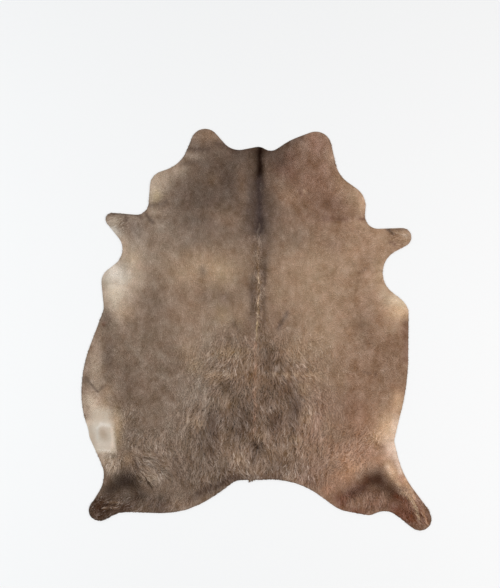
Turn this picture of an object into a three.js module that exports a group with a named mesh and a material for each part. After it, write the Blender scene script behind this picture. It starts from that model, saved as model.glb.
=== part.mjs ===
// A hair-on cowhide lying flat with its hair side up: one tanned skin, trimmed round the neck, belly and
// shanks, that keeps its whole coat. The flesh side is flat on the floor, and the coat forms the top.
//
// Millimetres, +Z up. The origin is on the floor in the middle of the hide's box. +Y runs along the spine
// to the neck, and +X is to the right with the neck away from the viewer.

import * as THREE from "three";
import { ConvexHull } from "three/addons/math/ConvexHull.js";

// Driving sizes
const SKIN = 2.4; // tanned skin, from the flesh side to the hair roots
const COAT = 3.4; // short body hair, combed flat
const RIM_COAT = 1.6; // hair that overhangs the trimmed edge
const RIM_INSET = 7; // from the cut edge to where the coat is rounded over it
const RIM_SLOPE = 60; // from the edge to where the coat has its full depth
const RIM_STEP = 17; // between points along the edge
const LATTICE = 50; // between points over the body
const CREASE_STEP = 22; // between points along a crease
const COAT_COLOUR = 0x7d6a5b;

// The trimmed edge, clockwise from the neck. Each row is a round of the edge, and straight tangents join the
// rounds. A lobe bulges out of the hide, and a hollow is cut into it. Columns: the middle of the round across
// and along the hide, and its radius.
const EDGE = [
  { at: "left cheek", bend: "lobe", across: -257, along: 933, radius: 71 },
  { at: "left nape", bend: "hollow", across: -87, along: 997, radius: 99 },
  { at: "poll", bend: "lobe", across: 9, along: 866, radius: 48 },
  { at: "right nape", bend: "hollow", across: 72, along: 949, radius: 55 },
  { at: "right brow", bend: "lobe", across: 330, along: 631, radius: 353 },
  { at: "right cheek", bend: "lobe", across: 296, along: 911, radius: 79 },
  { at: "right neck", bend: "hollow", across: 543, along: 860, radius: 151 },
  { at: "right throat", bend: "lobe", across: 436, along: 617, radius: 109 },
  { at: "right fore crotch", bend: "hollow", across: 607, along: 570, radius: 66 },
  { at: "right fore shank", bend: "lobe", across: 728, along: 462, radius: 46 },
  { at: "right armpit", bend: "hollow", across: 752, along: 284, radius: 122 },
  { at: "right chest", bend: "lobe", across: 672, along: 78, radius: 88 },
  { at: "right flank", bend: "lobe", across: -392, along: -125, radius: 1150 },
  { at: "right flank nick", bend: "hollow", across: 748, along: -553, radius: 60 },
  { at: "right stifle", bend: "hollow", across: 1143, along: -527, radius: 450 },
  { at: "right shank side", bend: "lobe", across: 769, along: -945, radius: 100 },
  { at: "right hind shank", bend: "lobe", across: 819, along: -949, radius: 55 },
  { at: "right hock", bend: "hollow", across: 640, along: -1007, radius: 100 },
  { at: "right thigh corner", bend: "lobe", across: 563, along: -888, radius: 40 },
  { at: "right thigh", bend: "lobe", across: 480, along: -754, radius: 157 },
  { at: "right rump", bend: "hollow", across: 68, along: -1168, radius: 420 },
  { at: "left rump", bend: "hollow", across: -74, along: -838, radius: 87 },
  { at: "left thigh", bend: "lobe", across: -482, along: -453, radius: 464 },
  { at: "left hock", bend: "hollow", across: -647, along: -1071, radius: 160 },
  { at: "left hind shank", bend: "lobe", across: -789, along: -905, radius: 49 },
  { at: "left stifle", bend: "hollow", across: -914, along: -728, radius: 151 },
  { at: "left belly corner", bend: "lobe", across: -776, along: -523, radius: 60 },
  { at: "left belly nick", bend: "hollow", across: -909, along: -513, radius: 70 },
  { at: "left belly", bend: "lobe", across: -444, along: -328, radius: 430 },
  { at: "left flank", bend: "lobe", across: -214, along: -312, radius: 660 },
  { at: "left flank nick", bend: "hollow", across: -824, along: 112, radius: 61 },
  { at: "left chest", bend: "lobe", across: -700, along: 238, radius: 75 },
  { at: "left armpit", bend: "hollow", across: -760, along: 402, radius: 91 },
  { at: "left fore shank", bend: "lobe", across: -723, along: 552, radius: 32 },
  { at: "left fore crotch", bend: "hollow", across: -599, along: 634, radius: 60 },
  { at: "left throat", bend: "lobe", across: -456, along: 718, radius: 76 },
  { at: "left neck", bend: "hollow", across: -506, along: 962, radius: 171 },
];

// Where the coat is deeper or thinner than over the ribs. Columns: the middle of the patch, how far it fades
// out across and along the hide, and what it adds to the coat's depth.
const COAT_PATCHES = [
  { at: "poll crest", across: 10, along: 820, reachAcross: 40, reachAlong: 120, adds: 2.2 },
  { at: "withers", across: 10, along: 480, reachAcross: 90, reachAlong: 160, adds: 1.2 },
  { at: "back", across: 0, along: 60, reachAcross: 260, reachAlong: 300, adds: 1.6 },
  { at: "loin", across: -10, along: -330, reachAcross: 380, reachAlong: 300, adds: 3.6 },
  { at: "rump", across: -10, along: -620, reachAcross: 420, reachAlong: 190, adds: 2.4 },
  { at: "left hip whorl", across: -620, along: -770, reachAcross: 110, reachAlong: 90, adds: 2.4 },
  { at: "right hip whorl", across: 590, along: -790, reachAcross: 130, reachAlong: 90, adds: 2.4 },
  { at: "left hind shank", across: -770, along: -890, reachAcross: 90, reachAlong: 80, adds: 2.0 },
  { at: "right hind shank", across: 800, along: -920, reachAcross: 90, reachAlong: 90, adds: 1.6 },
  { at: "left chest skin", across: -690, along: 230, reachAcross: 90, reachAlong: 110, adds: -1.8 },
  { at: "left belly skin", across: -790, along: -520, reachAcross: 70, reachAlong: 150, adds: -1.8 },
  { at: "right chest skin", across: 690, along: 90, reachAcross: 90, reachAlong: 90, adds: -1.2 },
  { at: "right stifle skin", across: 660, along: -560, reachAcross: 70, reachAlong: 140, adds: -1.4 },
];

// Creases left by folding, partings of the coat, and ridges where the hair meets. Columns: both ends of the
// line, how far it fades out to each side, and how much it lifts the top (less than nothing for a trough).
const CREASES = [
  { at: "left cheek fold", from: [-345, 892], to: [-240, 882], reach: 16, lift: -1.4 },
  { at: "left throat fold", from: [-400, 842], to: [-330, 820], reach: 16, lift: -1.0 },
  { at: "left fore fold", from: [-560, 590], to: [-490, 525], reach: 18, lift: -1.6 },
  { at: "right throat fold", from: [420, 530], to: [535, 540], reach: 16, lift: -1.0 },
  { at: "right chest fold", from: [515, 320], to: [500, 40], reach: 22, lift: -1.2 },
  { at: "left chest wrinkle", from: [-720, 285], to: [-650, 270], reach: 14, lift: 1.0 },
  { at: "left belly fold upper", from: [-840, -230], to: [-790, -315], reach: 16, lift: -1.4 },
  { at: "left belly fold lower", from: [-790, -315], to: [-730, -290], reach: 16, lift: -1.2 },
  { at: "spine parting fore", from: [12, 450], to: [5, 160], reach: 14, lift: -1.6 },
  { at: "spine parting mid", from: [5, 160], to: [-12, -180], reach: 14, lift: -1.8 },
  { at: "spine parting hind", from: [-12, -180], to: [-24, -640], reach: 16, lift: -1.4 },
  { at: "left hip ridge", from: [-700, -800], to: [-590, -725], reach: 24, lift: 1.6 },
  { at: "right hip ridge fore", from: [590, -720], to: [480, -820], reach: 24, lift: 1.4 },
  { at: "right hip ridge hind", from: [590, -720], to: [730, -850], reach: 24, lift: 1.6 },
];

const plan = (across, along) => new THREE.Vector2(across, along);

// The directed tangent from one round to the next leaves both at this angle of their common normal. A lobe is
// walked round clockwise and a hollow the other way, so a hollow counts as a round of negative radius.
const turn = (round) => (round.bend === "lobe" ? round.radius : -round.radius);

function tangentNormal(from, to) {
  const way = plan(to.across - from.across, to.along - from.along);
  return way.angle() + Math.asin((turn(to) - turn(from)) / way.length()) + Math.PI / 2;
}

// The edge as one path of arcs and the straight lines between them.
function edgePath() {
  const path = new THREE.Path();
  EDGE.forEach((round, i) => {
    const before = EDGE[(i + EDGE.length - 1) % EDGE.length];
    const after = EDGE[(i + 1) % EDGE.length];
    const isLobe = round.bend === "lobe";
    const side = isLobe ? 0 : Math.PI;
    const start = tangentNormal(before, round) + side;
    const end = tangentNormal(round, after) + side;
    path.absarc(round.across, round.along, round.radius, start, end, isLobe);
  });
  path.closePath();
  return path;
}

// Points spaced evenly along the edge, in counter-clockwise order, about the middle of the edge's box.
function edgePoints() {
  const path = edgePath();
  const count = Math.round(path.getLength() / RIM_STEP);
  const points = path.getSpacedPoints(count).slice(0, count).reverse();
  const middle = new THREE.Box2().setFromPoints(points).getCenter(plan(0, 0));
  return points.map((point) => point.sub(middle));
}

// The same points moved in from the cut edge.
function insetPoints(points, inset) {
  return points.map((point, i) => {
    const before = points[(i + points.length - 1) % points.length];
    const after = points[(i + 1) % points.length];
    const along = after.clone().sub(before).normalize();
    return plan(point.x - along.y * inset, point.y + along.x * inset);
  });
}

function nearest(point, others) {
  return others.reduce((least, other) => Math.min(least, point.distanceTo(other)), Infinity);
}

// Whether a point lies inside a closed ring, by the ring's crossings of a line to the right of it.
function isInside(point, ring) {
  return ring.reduce((inside, a, i) => {
    const b = ring[(i + 1) % ring.length];
    const spans = a.y > point.y !== b.y > point.y;
    const crossing = a.x + ((point.y - a.y) / (b.y - a.y)) * (b.x - a.x);
    return spans && point.x < crossing ? !inside : inside;
  }, false);
}

const bell = (ratio) => Math.exp(-ratio * ratio);

// How far a point is from a crease's line.
function creaseDistance(point, crease) {
  const line = new THREE.Line3(new THREE.Vector3(...crease.from, 0), new THREE.Vector3(...crease.to, 0));
  const place = new THREE.Vector3(point.x, point.y, 0);
  return line.closestPointToPoint(place, true, new THREE.Vector3()).distanceTo(place);
}

// The height of the coat's top over the floor.
function topHeight(point, edge) {
  const patches = COAT_PATCHES.reduce((sum, patch) => {
    const across = (point.x - patch.across) / patch.reachAcross;
    const along = (point.y - patch.along) / patch.reachAlong;
    return sum + patch.adds * bell(Math.hypot(across, along));
  }, 0);
  const creases = CREASES.reduce(
    (sum, crease) => sum + crease.lift * bell(creaseDistance(point, crease) / crease.reach), 0);
  const share = THREE.MathUtils.smoothstep(nearest(point, edge), 0, RIM_SLOPE);
  return SKIN + THREE.MathUtils.lerp(RIM_COAT, COAT + patches + creases, share);
}

// Rows of points on each crease: one along its line and one where it fades out on each side.
function creasePoints() {
  return CREASES.flatMap((crease) => {
    const from = plan(...crease.from);
    const to = plan(...crease.to);
    const side = to.clone().sub(from).normalize().rotateAround(plan(0, 0), Math.PI / 2);
    const steps = Math.ceil(from.distanceTo(to) / CREASE_STEP);
    return [-1, 0, 1].flatMap((row) =>
      Array.from({ length: steps + 1 }, (_, i) =>
        from.clone().lerp(to, i / steps).addScaledVector(side, row * crease.reach)));
  });
}

// A lattice of even triangles over the hide's box.
function latticePoints(edge) {
  const box = new THREE.Box2().setFromPoints(edge);
  const rise = (LATTICE * Math.sqrt(3)) / 2;
  const points = [];
  for (let row = 0; box.min.y + row * rise < box.max.y; row++) {
    const shift = (row % 2) * (LATTICE / 2);
    for (let x = box.min.x + shift; x < box.max.x; x += LATTICE) {
      points.push(plan(x, box.min.y + row * rise));
    }
  }
  return points;
}

// The rim ring, then the crease points, then the lattice wherever those leave room for it.
function topPoints(rim, edge) {
  const kept = [...rim];
  const add = (points, room) => {
    points.forEach((point) => {
      if (isInside(point, rim) && nearest(point, kept) > room) kept.push(point);
    });
  };
  add(creasePoints(), CREASE_STEP / 2);
  add(latticePoints(edge), LATTICE / 2);
  return kept;
}

// The triangles that join the points inside the ring. Lifted onto a paraboloid, the points have a convex hull
// whose underside is their Delaunay triangulation.
function triangulate(points, ring) {
  const lifted = points.map(({ x, y }) => new THREE.Vector3(x, y, (x * x + y * y) / LATTICE));
  const numbers = new Map(lifted.map((point, i) => [point, i]));
  const underside = new ConvexHull().setFromPoints(lifted).faces.filter((face) => face.normal.z < 0);
  const triangles = underside.map(({ edge }) =>
    [edge.next, edge, edge.prev].map((side) => numbers.get(side.head().point)));
  return triangles.filter((corners) => {
    const middle = corners.reduce((sum, i) => sum.add(points[i]), plan(0, 0)).divideScalar(3);
    return isInside(middle, ring);
  });
}

// Two rings of the same length joined by a closed strip of triangles.
function strip(count, lower, upper) {
  return Array.from({ length: count }, (_, i) => {
    const next = (i + 1) % count;
    return [lower + i, lower + next, upper + next, lower + i, upper + next, upper + i];
  }).flat();
}

// The flesh side on the floor, the cut edge of the skin, the rounded rim of the coat and the coat's top.
function hideGeometry() {
  const edge = edgePoints();
  const rim = insetPoints(edge, RIM_INSET);
  const top = topPoints(rim, edge);
  const count = edge.length;

  const corners = [
    ...edge.map((point) => [point.x, point.y, 0]),
    ...edge.map((point) => [point.x, point.y, SKIN]),
    ...top.map((point) => [point.x, point.y, topHeight(point, edge)]),
  ];
  const underside = THREE.ShapeUtils.triangulateShape(edge, []).map(([a, b, c]) => [c, b, a]);
  const coat = triangulate(top, rim).map((triangle) => triangle.map((i) => i + 2 * count));
  const cutEdge = strip(count, 0, count);
  const roundedRim = strip(count, count, 2 * count);

  const geometry = new THREE.BufferGeometry();
  geometry.setAttribute("position", new THREE.Float32BufferAttribute(corners.flat(), 3));
  geometry.setIndex([...underside.flat(), ...cutEdge, ...roundedRim, ...coat.flat()]);
  geometry.computeVertexNormals();
  return geometry;
}

const hide = new THREE.Mesh(
  hideGeometry(),
  new THREE.MeshStandardMaterial({ color: COAT_COLOUR, roughness: 0.85, metalness: 0 }),
);
hide.name = "hide";

const cowhide = new THREE.Group();
cowhide.add(hide);

export default cowhide;
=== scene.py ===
import math

import bmesh
import bpy
import numpy as np
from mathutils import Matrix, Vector, noise
from mathutils.bvhtree import BVHTree


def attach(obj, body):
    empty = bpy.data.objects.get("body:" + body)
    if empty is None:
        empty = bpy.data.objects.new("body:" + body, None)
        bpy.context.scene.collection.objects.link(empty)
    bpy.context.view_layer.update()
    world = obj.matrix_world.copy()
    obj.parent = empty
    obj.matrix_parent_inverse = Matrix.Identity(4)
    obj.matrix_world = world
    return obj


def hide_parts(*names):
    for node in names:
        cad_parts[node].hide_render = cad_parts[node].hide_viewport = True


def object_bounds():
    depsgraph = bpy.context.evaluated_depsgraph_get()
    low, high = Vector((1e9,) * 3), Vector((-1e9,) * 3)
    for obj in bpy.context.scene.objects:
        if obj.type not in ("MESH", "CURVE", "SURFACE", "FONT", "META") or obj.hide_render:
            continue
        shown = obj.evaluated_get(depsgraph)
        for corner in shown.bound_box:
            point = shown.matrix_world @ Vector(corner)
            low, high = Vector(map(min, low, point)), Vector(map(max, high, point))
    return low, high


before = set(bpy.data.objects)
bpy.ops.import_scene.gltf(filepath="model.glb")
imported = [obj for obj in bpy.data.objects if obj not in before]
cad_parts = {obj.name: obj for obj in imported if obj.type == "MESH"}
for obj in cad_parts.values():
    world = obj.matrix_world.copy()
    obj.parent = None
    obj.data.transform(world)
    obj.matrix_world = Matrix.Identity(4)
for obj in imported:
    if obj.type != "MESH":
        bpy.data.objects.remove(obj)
cad_low, cad_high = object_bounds()

# Camera
# It hangs straight over the hide with the neck at the top of the frame, so that the floor fills the
# frame round the hide as it does in the photograph.
FRAME_PIXELS = (500, 588)
HIDE_MIDDLE_PIXEL = (256.5, 329.6)
HIDE_LENGTH_PIXELS = 401.5
CAMERA_HEIGHT = 4.4


def placed(name, data):
    thing = bpy.data.objects.new(name, data)
    bpy.context.scene.collection.objects.link(thing)
    return thing


metres_per_pixel = (cad_high.y - cad_low.y) / HIDE_LENGTH_PIXELS
camera_data = bpy.data.cameras.new("camera")
camera_data.lens = camera_data.sensor_width * CAMERA_HEIGHT / (FRAME_PIXELS[1] * metres_per_pixel)
camera = placed("camera", camera_data)
camera.location = (
    (FRAME_PIXELS[0] / 2 - HIDE_MIDDLE_PIXEL[0]) * metres_per_pixel,
    (HIDE_MIDDLE_PIXEL[1] - FRAME_PIXELS[1] / 2) * metres_per_pixel,
    CAMERA_HEIGHT,
)
bpy.context.scene.camera = camera

# Floor and light
# A plain pale floor, with soft daylight from all round, a cool window on the left and a warm one on the
# right. Colours are shown as they are, with no film curve.
FLOOR_REACH = 16.0
FLOOR_DROP = 0.0004
FLOOR_COLOUR = (0.86, 0.852, 0.848, 1)
FLOOR_ROUGHNESS = 0.7
FLOOR_GLOSS = 0.2
SKY_COLOUR = (0.96, 0.98, 1.0, 1)
SKY_STRENGTH = 0.68
WINDOWS = [
    {"name": "cool_window", "place": (-5.4, -0.2, 4.8), "colour": (0.93, 0.98, 1.0), "watts": 175},
    {"name": "warm_window", "place": (5.4, -0.6, 4.8), "colour": (1.0, 0.97, 0.94), "watts": 185},
]
WINDOW_SIZE = 3.0

bpy.context.scene.view_settings.view_transform = "Standard"


def set_inputs(node, values):
    for socket, value in values.items():
        node.inputs[socket].default_value = value


sky = bpy.data.worlds.new("sky")
sky.use_nodes = True
set_inputs(sky.node_tree.nodes["Background"], {"Color": SKY_COLOUR, "Strength": SKY_STRENGTH})
bpy.context.scene.world = sky

for window in WINDOWS:
    lamp = bpy.data.lights.new(window["name"], "AREA")
    lamp.size = WINDOW_SIZE
    lamp.color = window["colour"]
    lamp.energy = window["watts"]
    lamp_object = placed(window["name"], lamp)
    lamp_object.location = window["place"]
    lamp_object.rotation_euler = (-Vector(window["place"])).to_track_quat("-Z", "Y").to_euler()


def plain_finish(name, roughness, gloss):
    material = bpy.data.materials.new(name)
    material.use_nodes = True
    shader = material.node_tree.nodes["Principled BSDF"]
    set_inputs(shader, {"Roughness": roughness, "Specular IOR Level": gloss})
    return material, shader


floor_material, floor_shader = plain_finish("floor", FLOOR_ROUGHNESS, FLOOR_GLOSS)
set_inputs(floor_shader, {"Base Color": FLOOR_COLOUR})

floor_mesh = bpy.data.meshes.new("floor")
floor_shape = bmesh.new()
bmesh.ops.create_grid(floor_shape, x_segments=1, y_segments=1, size=FLOOR_REACH)
bmesh.ops.translate(floor_shape, verts=floor_shape.verts, vec=(0, 0, -FLOOR_DROP))
floor_shape.to_mesh(floor_mesh)
floor_shape.free()
floor_mesh.materials.append(floor_material)
floor = placed("floor", floor_mesh)

# Tanned skin
# One whole tanned cowhide, pale suede on the flesh side, cut to its outline with a knife. Its hair side is
# the dense short underfur that the coat's locks grow out of, in the same tones as the coat over it.
SKIN_THICKNESS = 0.0024
UNDERFUR_SHARE = 0.4
UNDERFUR_CUTS = 2
MERGE_DISTANCE = 1e-5
CHART_STEP = 0.01
CHART_MARGIN = 0.03
RIM_HEIGHT = 0.004

# The least that the hair side's normals point up and the flesh side's down.
FACES_UP = 0.3
FACES_DOWN = -0.5

# The chart holds, at every centimetre, the height of the coat's top over the floor and the distance to
# the cut edge, which is less than nothing outside the hide.
solid = bmesh.new()
solid.from_mesh(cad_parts["hide"].data)
bmesh.ops.remove_doubles(solid, verts=solid.verts, dist=MERGE_DISTANCE)
solid.normal_update()
solid_tree = BVHTree.FromBMesh(solid)
chart_x = np.arange(cad_low.x - CHART_MARGIN, cad_high.x + CHART_MARGIN, CHART_STEP)
chart_y = np.arange(cad_low.y - CHART_MARGIN, cad_high.y + CHART_MARGIN, CHART_STEP)


def top_at(x, y):
    hit = solid_tree.ray_cast(Vector((x, y, 1)), Vector((0, 0, -1)))[0]
    return hit.z if hit else 0.0


def is_cut_edge(edge):
    return sum(face.normal.z < FACES_DOWN for face in edge.link_faces) == 1


def distance_to_edges(points, starts, ends):
    least = np.full(len(points), np.inf)
    for start, end in zip(starts, ends):
        way = end - start
        share = np.clip((points - start) @ way / (way @ way), 0, 1)
        least = np.minimum(least, np.hypot(*(points - start - share[:, None] * way).T))
    return least


coat_top = np.array([[top_at(x, y) for x in chart_x] for y in chart_y])
is_hide = coat_top > 0
coat_top[~is_hide] = RIM_HEIGHT
cut_edges = [[vert.co.xy for vert in edge.verts] for edge in solid.edges if is_cut_edge(edge)]
cut_edges = np.array(cut_edges)
chart_points = np.stack(np.meshgrid(chart_x, chart_y), axis=-1).reshape(-1, 2)
edge_distance = distance_to_edges(chart_points, cut_edges[:, 0], cut_edges[:, 1])
edge_distance = edge_distance.reshape(coat_top.shape)
edge_distance[~is_hide] *= -1


def on_chart(values, points):
    column = (points[:, 0] - chart_x[0]) / CHART_STEP
    row = (points[:, 1] - chart_y[0]) / CHART_STEP
    i = np.clip(column.astype(int), 0, len(chart_x) - 2)
    j = np.clip(row.astype(int), 0, len(chart_y) - 2)
    u = np.clip(column - i, 0, 1)
    v = np.clip(row - j, 0, 1)
    low = values[j, i] * (1 - u) + values[j, i + 1] * u
    high = values[j + 1, i] * (1 - u) + values[j + 1, i + 1] * u
    return low * (1 - v) + high * v


edge_rise_y, edge_rise_x = np.gradient(edge_distance, CHART_STEP)


def kept_inside(points, overhang):
    past = np.maximum(-on_chart(edge_distance, points) - overhang, 0)
    inwards = np.stack([on_chart(edge_rise_x, points), on_chart(edge_rise_y, points)], axis=1)
    return points + past[:, None] * inwards


def underfur_under(top):
    return SKIN_THICKNESS + UNDERFUR_SHARE * (top - SKIN_THICKNESS)


# The coat's tones, as they look in daylight.
TONES = {
    "taupe": "7d6b5c",
    "fawn": "937a66",
    "stone": "948476",
    "tan": "a58c74",
    "honey": "af987c",
    "rose": "96796a",
    "mauve": "74584a",
    "brown": "826852",
    "hazel": "866554",
    "ash": "65564c",
    "bark": "5a4b41",
    "umber": "483830",
    "peat": "32261f",
    "soot": "1c0c04",
    "slate": "463a36",
    "grey": "6e6259",
    "sand": "b29b83",
    "straw": "ae9c74",
    "biscuit": "cdb091",
    "peach": "cdaa88",
    "oat": "b09e8c",
    "linen": "c8baa8",
    "cream": "c8b69e",
    "shell": "e2cebe",
    "chalk": "dcd5cb",
    "russet": "663e2d",
    "gold": "bca384",
    "pearl": "c8c1b7",
    "camel": "93755f",
    "ginger": "a27e68",
    "apricot": "b58f74",
    "sepia": "3e2a1e",
    "chestnut": "44281a",
}

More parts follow.
